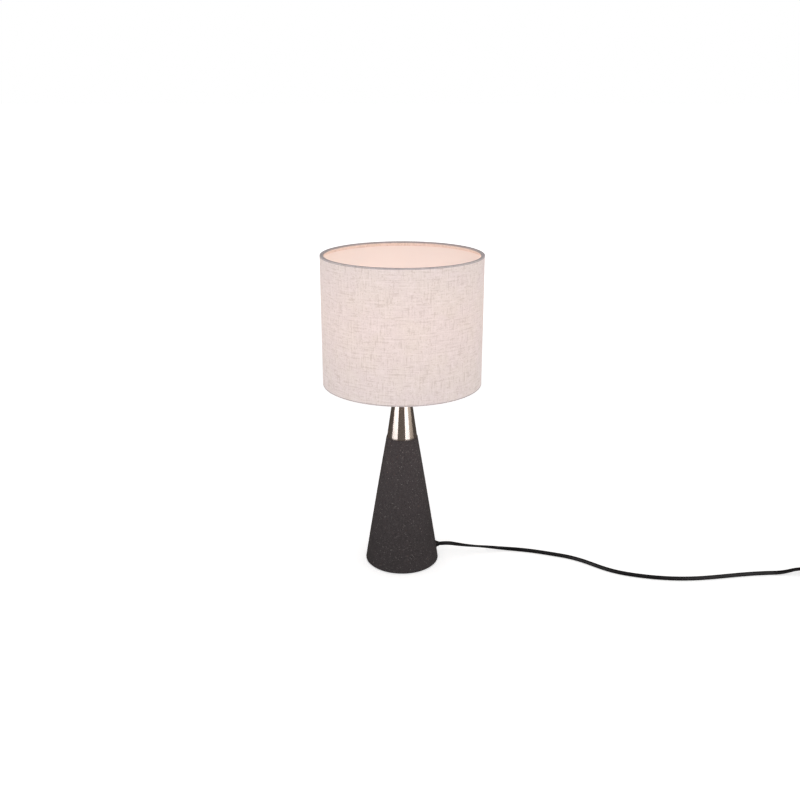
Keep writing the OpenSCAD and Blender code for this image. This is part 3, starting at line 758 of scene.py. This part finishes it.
def coil_points():
    """The turns of the coil, clockwise from above: outer row to inner below, and back out on top."""
    x, y, middle = middle_of("cord_coil")
    wide, _, tall = size_of("cord_coil")
    radii = [(wide - TURN_PITCH) / 2 - TURN_PITCH * k for k in range(COIL_ROWS)]
    rows = [(r, middle - tall / 4) for r in radii] + [(r, middle + tall / 4) for r in radii[::-1]]
    rows = np.array(rows)
    last = len(rows) - 1
    points = []
    for k in range(len(rows) * 360 // COIL_STEP + 1):
        turn = k * COIL_STEP / 360
        row = min(int(turn), last)
        change = smooth_step((turn - row - (1 - JOG)) / JOG)
        radius, z = rows[row] + (rows[min(row + 1, last)] - rows[row]) * change
        a = -2 * math.pi * turn
        points.append((x + radius * math.cos(a), y + radius * math.sin(a), z, 360))
    return points


def add_cord(name, route, solids):
    """One stretch of the lead, a flat flex along its route."""
    path = relax(spline(route, 2.0), 4)
    line = path[:, :3] * MM
    length = float(np.linalg.norm(np.diff(line, axis=0), axis=1).sum())
    piece = add_piece(name, sweep(path, oval(CORD_W, CORD_T)), "black_pvc", solids, 60)


def make_cords():
    add_cord("lead_run", RUN_ROUTE, ["cord_run"])
    add_cord("lead_tail", TAIL_ROUTE + coil_points() + END_ROUTE,
             ["cord_tail", "cord_coil", "cord_end"])


def make_tie():
    """A flat strap round the coil's turns."""
    strap_w, strap_t, slack = 4.0, 0.6, 1.2
    x, y, z = middle_of("cord_coil")
    bundle = COIL_ROWS * TURN_PITCH
    inner = plan(bundle + slack, size_of("coil_tie")[2], 2.4, 6)
    outer = grown(inner, strap_t)
    out = (size_of("cord_coil")[0] - bundle) / 2
    rings = []
    for outline, side in ((inner, -0.5), (inner, 0.5), (outer, 0.5), (outer, -0.5)):
        rings.append([(out + p[0], side * strap_w, z + p[1]) for p in outline])
    strap = placed(loft(rings, closed=True), moved(x, y, 0) @ turned_z(200))
    add_piece("tie_strap", strap, "nylon_tie", ["coil_tie"], 40)


# ---- base and neck

def make_foot():
    _, top, radius = upright("foot_pad")
    profile = [(0, 0), (radius, 0, 0.35), (radius, top, 0.3), (0, top)]
    add_piece("foam_foot", lathe(rounded(profile)), "felt_pad", ["foot_pad"])


def make_base():
    """Hollow casting with a slightly swelling side and a faintly uneven skin."""
    bottom_r, bottom = upright("base_cone")[2], upright("foot_pad")[1]
    start = bottom + 0.8
    bore_r = 5.4
    steps = 14
    side = []
    for k in range(1, steps):
        t = k / steps
        side.append((bottom_r + (BASE_TOP_R - bottom_r) * t + BASE_SWELL * 4 * t * (1 - t),
                     start + (BASE_HIGH - start) * t))
    outer = rounded([(bottom_r - BASE_WALL, bottom), (bottom_r, bottom, 1.3), *side,
                     (BASE_TOP_R, BASE_HIGH, 0.7), (NECK_R - 3, BASE_HIGH)])
    hollow = BASE_HIGH - BASE_CROWN
    inner = [(bore_r, BASE_HIGH), (bore_r, hollow), (BASE_TOP_R - BASE_WALL, hollow),
             (bottom_r - BASE_WALL, bottom + 2.2)]

    def gritty(r, z, a):
        inside = r < BASE_TOP_R - 1 and z > BASE_HIGH - 20
        if inside or z < bottom + 0.1:
            return r
        at = Vector((r * math.cos(a), r * math.sin(a), z))
        return r + 0.07 * noise.noise(at * 0.8) + 0.05 * noise.noise(at * 0.21)

    body = lathe(split_up(outer, 1.3) + inner, 288, closed=True, shape=gritty)
    add_piece("base_casting", body, "cast_base", ["base_cone"], 50)


def make_neck():
    """Spun cone with a rolled-in top."""
    outer = rounded([(NECK_R - 1.2, BASE_HIGH), (NECK_R + NECK_FLARE, BASE_HIGH, 0.35),
                     (NECK_TOP_R, NECK_HIGH, 0.7), (NECK_BORE_R, NECK_HIGH)])
    inner = [(NECK_BORE_R, NECK_HIGH - 3), (NECK_TOP_R - 0.9, NECK_HIGH - 3)]
    neck = lathe(split_up(outer, 2.0) + inner, 224, closed=True)
    add_piece("neck_spinning", neck, "brushed_nickel", ["neck_cone"])


def make_bush():
    """The bush that the cord leaves the base through: a ribbed sleeve, a flange and a grooved nose."""
    flange_r = 4.6
    profile = [(0, 26), (3.2, 26, 0.4), (3.9, 36), (3.9, 44.6), (flange_r, 44.6, 0.2),
               (flange_r, 47.1, 0.5), (3.95, 47.3), (3.85, 47.9, 0.1), (3.35, 48.1, 0.1),
               (3.3, 48.5, 0.1), (3.65, 48.7, 0.1), (3.5, 49.3, 0.1), (3.1, 49.4, 0.1), (3.2, 50.2, 0.4),
               (0, 50.2)]
    turn = turned_z(EXIT_ANGLE) @ moved(0, 0, span("cord_bush")[0][2] + flange_r) @ ALONG_X
    add_piece("exit_bush", placed(lathe(rounded(profile), 64), turn), "black_pvc", ["cord_bush"])


# ---- holder and its ring

def thread(core, depth, pitch, low, high):
    """Radius of a rounded right-hand thread, fading out at both ends."""
    def radius(r, z, a):
        if not low < z < high or r < core - 0.01:
            return r
        wave = 0.5 + 0.5 * math.cos(2 * math.pi * (z / pitch) - a)
        return core + depth * wave * smooth_step(min(z - low, high - z) / (0.5 * pitch))
    return radius


def make_holder():
    """The holder's dome, and its threaded skirt with the collar that the shade rests on."""
    low, high, _ = upright("holder_base")
    dome = [(5.2, low), (10.5, low, 0.5), (13, low + 2.4, 3), (14.5, low + 6, 6), (15, low + 10, 4),
            (15, high, 0.5), (12.6, high, 0.3), (12.6, low + 6), (5.2, low + 6)]
    dome = lathe(rounded(dome, closed=True), closed=True)
    add_piece("holder_dome", dome, "black_plastic", ["holder_base"])

    low, high, _ = upright("holder_shell")
    collar = upright("shade_ring")[0] - 2.2
    seat = upright("holder_insert")[1]
    core, bore_r, collar_r = SKIRT_R - 0.65, 11.1, 17
    outer = [(bore_r, low), (12.5, low, 0.3), (12.5, collar - 2), (collar_r, collar - 2, 0.5),
             (collar_r, collar, 0.5), (core, collar, 0.3), (core, high, 0.5)]
    inner = [(bore_r, high, 0.3), (bore_r, seat + 1.5), (9.2, seat + 1.5), (9.2, seat), (bore_r, seat)]
    skirt = lathe(split_up(rounded(outer), 0.25) + rounded(inner), 120, closed=True,
                  shape=thread(core, SKIRT_R - core, SKIRT_PITCH, collar + 0.8, high - 0.8))
    add_piece("holder_body", skirt, "black_plastic", ["holder_shell"], 50)


def make_ring():
    """The shade ring, with grips round it."""
    low, high, ring_r = upright("shade_ring")
    bore_r, lip, grips = 13.9, 2, 24
    ring = [(bore_r, low, 0.3), (ring_r, low, 0.4), (ring_r, low + lip, 0.3),
            (ring_r - 0.4, low + lip + 0.4), (ring_r - 0.4, high, 0.8), (bore_r, high, 0.4)]

    def gripped(r, z, a):
        rise = z - low - lip - 0.2
        if r < ring_r - 1.5 or rise < 0:
            return r
        return r - 1.1 * max(0.0, math.cos(grips * a)) ** 2 * smooth_step(rise / 1.2)

    profile = rounded(ring, closed=True)
    profile = split_up(profile + profile[:1], 0.7)[:-1]
    grip_ring = lathe(profile, grips * 10, closed=True, shape=gripped)
    add_piece("grip_ring", grip_ring, "black_plastic", ["shade_ring"], 45, body="shade_ring")


# ---- shade

def slubbed(r, z, a):
    """The cloth's outer face, uneven with thick threads both ways and slightly out of round."""
    if r < SHADE_R - 0.3:
        return r
    weft = noise.noise(Vector((SHADE_R * a * 0.10, z * 0.75, 1)))
    warp = unevenness(a, 62, z * 0.10)
    swell = unevenness(a, 2, z * 0.012)
    from_seam = min(a, 2 * math.pi - a)
    return r + 0.07 * weft * smooth_step(from_seam / 0.15) + 0.07 * warp + 0.12 * swell


def make_cloth():
    inner_r = SHADE_R - FABRIC_T
    profile = split_up([(SHADE_R, SHADE_LOW), (SHADE_R, SHADE_HIGH)], 1.225)
    profile += [(inner_r, SHADE_HIGH), (inner_r, SHADE_LOW)]
    cloth = lathe(profile, 540, closed=True, shape=slubbed)
    return add_piece("linen_cloth", cloth, "shade_linen", ["shade_fabric"], 60, body="shade")


def make_lining():
    outer_r = SHADE_R - FABRIC_T
    inner_r = outer_r - LINER_T
    profile = [(outer_r, SHADE_LOW), (outer_r, SHADE_HIGH)]
    profile += split_up([(inner_r, SHADE_HIGH), (inner_r, SHADE_LOW)], 8)
    add_piece("lining", lathe(profile, 256, closed=True), "shade_lining", ["shade_liner"], body="shade")


def make_seam():
    """The cloth's end lapped over its start at the back, thinning out towards both sides."""
    first, last = math.radians(87), math.radians(93)
    columns = 20

    def at(column, z, height):
        across = column / columns
        a = first + (last - first) * across
        edge = smooth_step(across / 0.12) * smooth_step((1 - across) / 0.05)
        uneven = 0.05 * noise.noise(Vector((across * 4, 0, z * 0.2)))
        r = SHADE_R - 0.1 + height * (0.25 + 0.75 * edge) + uneven
        return r * math.cos(a), r * math.sin(a), z

    rings = []
    for _, z in split_up([(0, SHADE_LOW), (0, SHADE_HIGH)], 1.35):
        outer = [at(i, z, 0.36) for i in range(columns + 1)]
        inner = [at(i, z, -0.2) for i in range(columns + 1)]
        rings.append(outer + inner[::-1])
    return add_piece("cloth_seam", loft(rings), "shade_linen", ["shade_seam"], 60, body="shade")


def add_rim(name, node, edge_z, inward):
    """A strip of cloth rolled over a rim wire and tucked in; inward is the way in along Z."""
    roll = [(0.06, -1.9), (0.1, -1.1), (-0.1, -0.45), (-0.7, -0.1), (-1.7, 0), (-2.9, -0.02),
            (-3.8, -0.35), (-4.4, -1.0), (-4.55, -1.9), (-4.35, -2.8), (-3.6, -3.6), (-2.6, -4.1),
            (-2.0, -4.7), (-1.9, -5.4), (-1.9, -6.0)]
    path = spline([(SHADE_R + out, z) for out, z in roll], 0.5)
    outline = [(r, edge_z - inward * z) for r, z in wall(path, 0.42)]

    def uneven(r, z, a):
        depth = smooth_step(abs(z - edge_z) / 1.5)
        return r + 0.10 * unevenness(a, 24, z * 0.3) * depth * (1 if r < SHADE_R - 1 else 0.4)

    rim = lathe(outline, 360, closed=True, shape=uneven)
    return add_piece(name, rim, "rim_linen", [node], 60, body="shade")


def make_shade():
    cloth = make_cloth()
    make_lining()
    seam = make_seam()
    trim = add_rim("rim_top", "top_trim", upright("top_trim")[1], -1)
    low_trim = add_rim("rim_bottom", "bottom_trim", upright("bottom_trim")[0], 1)


def make_fitter():
    """Washer that sits on the holder, and three cranked arms welded to it and to the bottom wire."""
    low, high, ring_r = upright("fitter_ring")
    bore_r = 14.0
    ring_z = (low + high) / 2
    washer = [(bore_r, low, 0.3), (ring_r, low, 0.5), (ring_r, high, 0.5), (bore_r, high, 0.3)]
    washer = lathe(rounded(washer, closed=True), closed=True)
    add_piece("fitter_washer", washer, "white_wire", ["fitter_ring"], body="shade")

    wire_z = middle_of("bottom_wire")[2]
    start = SHADE_R - 4.1
    route = [(start, wire_z), (90, wire_z), (86, wire_z + 0.3), (82, wire_z + 1.2), (76, wire_z + 3.9),
             (38, wire_z + 21.5), (33, wire_z + 23.8), (29.5, ring_z - 0.3), (26, ring_z),
             (ring_r - 0.6, ring_z)]
    route = spline([(x, 0, z, 0) for x, z in route], 1.5)
    welds = [bead((ring_r + 0.6, side * 1.3, ring_z - 0.2), 1.5, 1.1) for side in (-1, 1)]
    welds += [bead((start + 0.3, side * 1.6, wire_z), 1.3, 1.0) for side in (-1, 1)]
    arm = joined(sweep(route, oval(2 * WIRE_R, 2 * WIRE_R)), *welds)
    arms = copies(arm, [turned_z(a) for a in (90, 210, 330)])
    add_piece("fitter_spider", arms, "white_wire", ["fitter_arms"], 50, body="shade")


# ---- bulb

def make_bulb_tip():
    """The tip's drop of solder, and the glass bead round it."""
    low, high, _ = upright("bulb_tip")
    tip = [(0, low), (1.2, low + 0.02, 0.8), (2.4, high - 0.3, 0.6), (2.4, high + 0.3), (0, high + 0.3)]
    add_piece("solder_tip", lathe(rounded(tip), 48), "nickel_cap", ["bulb_tip"], body="bulb_lift")

    low, high, _ = upright("bulb_insulator")
    glass = [(0, low), (2.6, low, 0.4), (3.4, low + 1.1, 1.2), (6.1, high - 0.1, 0.3), (6.1, high + 0.4),
             (0, high + 0.4)]
    add_piece("glass_bead", lathe(rounded(glass), 64), "black_glass", ["bulb_insulator"], body="bulb_lift")


def make_bulb_cap():
    """The thin screw cap, rolled out at its top."""
    low, high, radius = upright("bulb_cap")
    core = radius - 0.8
    outer = [(core - 1.6, low), (core, low, 0.8), (core, high - 2.2), (radius - 0.2, high - 1.4, 0.4),
             (radius, high)]
    inner = [(radius - 0.6, high), (core - 0.5, high - 2.4), (core - 0.5, low + 0.8)]
    cap = lathe(split_up(rounded(outer), 0.3) + inner, 96, closed=True,
                shape=thread(core, 0.72, CAP_PITCH, low + 1.2, high - 2.6))
    add_piece("screw_cap", cap, "nickel_cap", ["bulb_cap"], 50, body="bulb_lift")


def make_bulb_housing():
    """The flared plastic shell between the cap and the globe."""
    low, high, radius = upright("bulb_housing")
    route = [(7.3, 0), (7.9, 0.8), (9, 2), (10.8, 4.8), (12.4, 8), (14.1, 12), (15.5, 16), (16.6, 20),
             (radius, high - low)]
    curve = spline([(r, low + z) for r, z in route], 0.8)
    housing = lathe(wall(curve, 1.1), closed=True)
    add_piece("lamp_housing", housing, "white_plastic", ["bulb_housing"], 50, body="bulb")


def make_globe():
    """Thin opal bowl, open below, that lets the bulb's light through."""
    steps = 40
    first = math.asin((GLOBE_LOW - GLOBE_MIDDLE) / GLOBE_R)
    arc = [first + (math.pi / 2 - first) * k / steps for k in range(steps)]

    def bowl(radius):
        return [(radius * math.cos(a), GLOBE_MIDDLE + radius * math.sin(a)) for a in arc]

    profile = bowl(GLOBE_R) + [(0, GLOBE_HIGH), (0, GLOBE_HIGH - 1)] + bowl(GLOBE_R - 1)[::-1]
    globe = add_piece("opal_globe", lathe(profile, closed=True), "opal", ["bulb_globe"], body="bulb")
    globe.visible_shadow = False


# ---- switch and plug

def ribbed_nose(length, root_r, end_r, ribs):
    """Tapered cord sleeve with rings cut into it, pointing along X from 0."""
    profile = [(0, -3), (root_r, -3), (root_r, 0.4)]
    pitch = (length - 1.2) / ribs
    for k in range(ribs):
        r = root_r + (end_r - root_r) * (k + 0.5) / ribs
        x = 0.6 + pitch * k
        profile += [(r - 0.7, x, 0.15), (r - 0.7, x + pitch * 0.3, 0.15), (r, x + pitch * 0.45, 0.2),
                    (r - 0.1, x + pitch * 0.95, 0.2)]
    profile += [(end_r - 0.2, length, 0.5), (0, length)]
    return placed(lathe(rounded(profile), 56), ALONG_X)


def make_switch_case():
    """Two hollow case halves with a ribbed nose at each end, the upper one open for the rocker."""
    x, y, _ = middle_of("switch_lower")
    length, width, height = 54, size_of("switch_lower")[1], span("switch_upper")[1][2]
    wall_t, gap, big = 1.8, 0.12, 60
    here = moved(x, y, 0)
    nose = ribbed_nose(5.9, 6, 4.4, 3)
    noses = copies(nose, [here @ moved(-length / 2, 0, SWITCH_SPLIT) @ turned_z(180),
                          here @ moved(length / 2, 0, SWITCH_SPLIT)])
    room = plan(length - 2 * wall_t, width - 2 * wall_t, 8)
    hollow = placed(slab(room, wall_t, height - wall_t, 0.5, 0.5), here)
    opening = placed(slab(plan(17, 11, 1.6, 5), 12.4, height + 5, 0.3, 0.3), here)
    well = lathe([(0, -1), (2.8, -1), (2.8, 2.9), (0, 2.9)], 32)
    wells = [placed(well, here @ moved(s * 17, s * 7, 0)) for s in (-1, 1)]
    for name, node, bottom, top, edges, cuts in (
            ("case_lower", "switch_lower", 0, SWITCH_SPLIT - gap, (1.6, 0.4), wells),
            ("case_upper", "switch_upper", SWITCH_SPLIT + gap, height, (0.4, 3.2), [opening])):
        half = placed(slab(plan(length, width, 10, 10), bottom, top, *edges, steps=6), here)
        keep = placed(loft([[(*p, z) for p in square(big)] for z in (bottom, top)]), here)
        ends = add_piece(name + "_nose", noses, "black_plastic", (), 40, keeps=[keep])
        case = add_piece(name, half, "black_plastic", [node], 40, cuts=[hollow, *cuts])
        merge(case, ends)


def make_rocker():
    """The rocker's key, dished on top, tipped to its rest position."""
    side = [(-7.5, 1.6, 0.4), (-7.5, 4.4, 0.7), (-3.6, 3.9, 3), (0, 3.2, 6), (3.6, 3.9, 3), (7.5, 4.4, 0.7),
            (7.5, 1.6, 0.4), (2.2, -3, 0.6), (-2.2, -3, 0.6)]
    outline = rounded(side, closed=True, steps=6)[::-1]
    x, y, _ = middle_of("switch_lower")
    pivot_z = middle_of("switch_pin")[2]
    upright_turn = Matrix.Rotation(math.radians(90), 4, "X")
    key = placed(slab(outline, -5, 5, 0.45, 0.45), moved(x, y, pivot_z) @ upright_turn @ turned_z(-8))
    add_piece("rocker_key", key, "black_plastic", ["switch_rocker"], 40, body="rocker")


# The plug's body from its face back: distance, and shares of its full width and thickness
PLUG_STATIONS = [
    (0, 0.93, 0.90), (0.5, 0.985, 0.97), (1.4, 1.0, 1.0), (8, 1.0, 1.0), (15, 0.985, 0.985),
    (17, 0.93, 0.95), (18, 0.86, 0.92), (19, 0.86, 0.92), (20, 0.80, 0.93), (21, 0.74, 0.90),
    (22, 0.73, 0.90), (23, 0.68, 0.92), (24, 0.62, 0.89), (25, 0.61, 0.89), (26, 0.585, 0.91),
    (29, 0.51, 0.90), (32, 0.44, 0.87), (34.5, 0.385, 0.84), (35.6, 0.35, 0.80), (36, 0.31, 0.76)]
PLUG_SQUARENESS = 0.55


def make_plug():
    """Moulded body with a waisted grip, running out into a ribbed strain relief."""
    _, y, z = middle_of("plug_body")
    length, width, thickness = size_of("plug_body")
    rings = []
    for at, wide, thick in PLUG_STATIONS:
        x = span("plug_body")[0][0] + at * length / PLUG_STATIONS[-1][0]
        ring = []
        for a in angles(56):
            across, up = (math.copysign(abs(v) ** PLUG_SQUARENESS, v) for v in (math.cos(a), math.sin(a)))
            ring.append((x, y + width / 2 * wide * across, z + thickness / 2 * thick * up))
        rings.append(ring)
    add_piece("plug_moulding", loft(rings), "black_pvc", ["plug_body"], 50)

    relief = ribbed_nose(size_of("plug_relief")[0], 5.6, 3.4, 6)
    relief = placed(relief, moved(span("plug_relief")[0][0], y, z))
    add_piece("plug_strain_relief", relief, "black_pvc", ["plug_relief"], 40)


def make_pins():
    """Two round pins, and a sleeve round the inner part of each."""
    _, y, z = middle_of("plug_body")

    def pair(shape, node):
        start = span(node)[0][0]
        return copies(shape, [moved(start, y + s * PIN_AT, z) @ ALONG_X for s in (-1, 1)])

    long = size_of("plug_pins")[0]
    pin = [(0, 0), (1.0, 0.02, 0.5), (1.95, 1.1, 0.9), (2.0, 2.4), (2.0, 9), (1.5, 9.02), (1.5, long),
           (0, long)]
    pins = pair(lathe(rounded(pin), 40), "plug_pins")
    add_piece("plug_pin_pair", pins, "nickel_cap", ["plug_pins"], 40)

    long = size_of("pin_sleeves")[0]
    sleeve = [(1.52, 0, 0.1), (1.93, 0, 0.15), (1.93, long - 1.4), (2.6, long, 0.3), (1.52, long)]
    sleeves = pair(lathe(rounded(sleeve, closed=True), 40, closed=True), "pin_sleeves")
    add_piece("plug_pin_sleeves", sleeves, "black_pvc", ["pin_sleeves"], 40)


# ---- carried-over CAD nodes

def dress_cad_nodes():
    """Gives every CAD node that still shows the material of its slot."""
    for part in frame["record"]["subparts"]:
        node = frame["nodes"][part["node"]]
        if not node.hide_render:
            node.data.materials.clear()
            node.data.materials.append(material(part["material_slot"]))


# ---- floor, world and lights

def make_floor():
    """Pale floor, lifted to an even white away from the lamp, and dim to reflections as the world is."""
    pale = (0.92, 0.92, 0.92)
    reach = 60000
    floor = as_object("floor", ([(*p, 0) for p in square(reach)], [(0, 1, 2, 3)]))
    look = Look("floor", pale, 0.9)
    mirrored = look.add("LightPath").outputs["Is Glossy Ray"]
    look.set("Base Color", look.mix(mirrored, pale, (0.10, 0.085, 0.075)))
    look.set("Emission Color", (1, 1, 1, 1))
    away = look.add("VectorMath", {0: look.place}, operation="LENGTH").outputs["Value"]
    lift = look.fade(away, 0.5, 2.5, FLOOR_LIFT, FAR_LIFT)
    look.set("Emission Strength", look.times(lift, look.math("SUBTRACT", 1.0, mirrored)))
    floor.data.materials.append(look.material)


def make_world():
    """White round about, but dim to reflections, so that metal and plastic show the cards."""
    world = bpy.data.worlds.new("studio")
    world.use_nodes = True
    bpy.context.scene.world = world
    tree = world.node_tree
    tree.nodes.clear()

    def shade(strength, colour=(1, 1, 1)):
        return add_node(tree, "Background", {"Color": (*colour, 1), "Strength": strength}).outputs[0]

    def choose(*sockets):
        return add_node(tree, "MixShader", dict(enumerate(sockets))).outputs[0]

    ray = add_node(tree, "LightPath").outputs
    lighting = choose(ray["Is Glossy Ray"], shade(WORLD_FILL), shade(WORLD_MIRRORED, (1.0, 0.79, 0.68)))
    add_node(tree, "OutputWorld", {"Surface": choose(ray["Is Camera Ray"], lighting, shade(1.0))})


def add_light(name, kind, energy, location, colour=(1, 1, 1), **settings):
    data = bpy.data.lights.new(name, kind)
    data.energy = energy
    data.color = colour
    for setting, value in settings.items():
        setattr(data, setting, value)
    made = add_object(name, data)
    made.location = location
    return made


def add_card(name, first, last, radiance, colour, distance=1.4, low=0.02, high=1.5):
    """Upright card that only shiny things show, between two azimuths from -Y towards +X."""
    middle = math.radians((first + last) / 2)
    width = 2 * distance * math.tan(math.radians(last - first) / 2)
    energy = radiance * math.pi * width * (high - low)
    at = (distance * math.sin(middle), -distance * math.cos(middle), (low + high) / 2)
    card = add_light(name, "AREA", energy, at, colour, shape="RECTANGLE", size=width, size_y=high - low)
    card.rotation_euler = (math.radians(90), 0, middle)
    card.visible_diffuse = False


def make_lights():
    """Three cards for the neck to mirror, a soft light over the camera, and the bulb's own light."""
    add_card("left_card", -82, -35, 2.45, (1.0, 0.97, 1.0))
    add_card("right_card", 25, 61, 2.5, (1.0, 0.97, 1.0))
    add_card("right_dim_card", 62, 98, 0.85, (1.0, 0.90, 0.80))
    above = Vector((-0.05, -1.1, 1.35))
    overhead = add_light("overhead", "AREA", 3.9, above, shape="SQUARE", size=1.2)
    overhead.rotation_euler = (Vector((0, 0, 0.2)) - above).to_track_quat("-Z", "Y").to_euler()
    add_light("bulb_light", "POINT", 0.14, (0, 0, GLOBE_MIDDLE * MM), (1.0, 0.72, 0.48),
              shadow_soft_size=0.018)


bpy.context.scene.view_settings.view_transform = "Standard"
make_floor()
make_world()
make_lights()

make_foot()
make_base()
make_neck()
make_bush()
make_holder()
make_ring()
make_shade()
make_fitter()
make_bulb_tip()
make_bulb_cap()
make_bulb_housing()
make_globe()
make_switch_case()
make_rocker()
make_tie()
make_plug()
make_pins()
make_cords()
dress_cad_nodes()
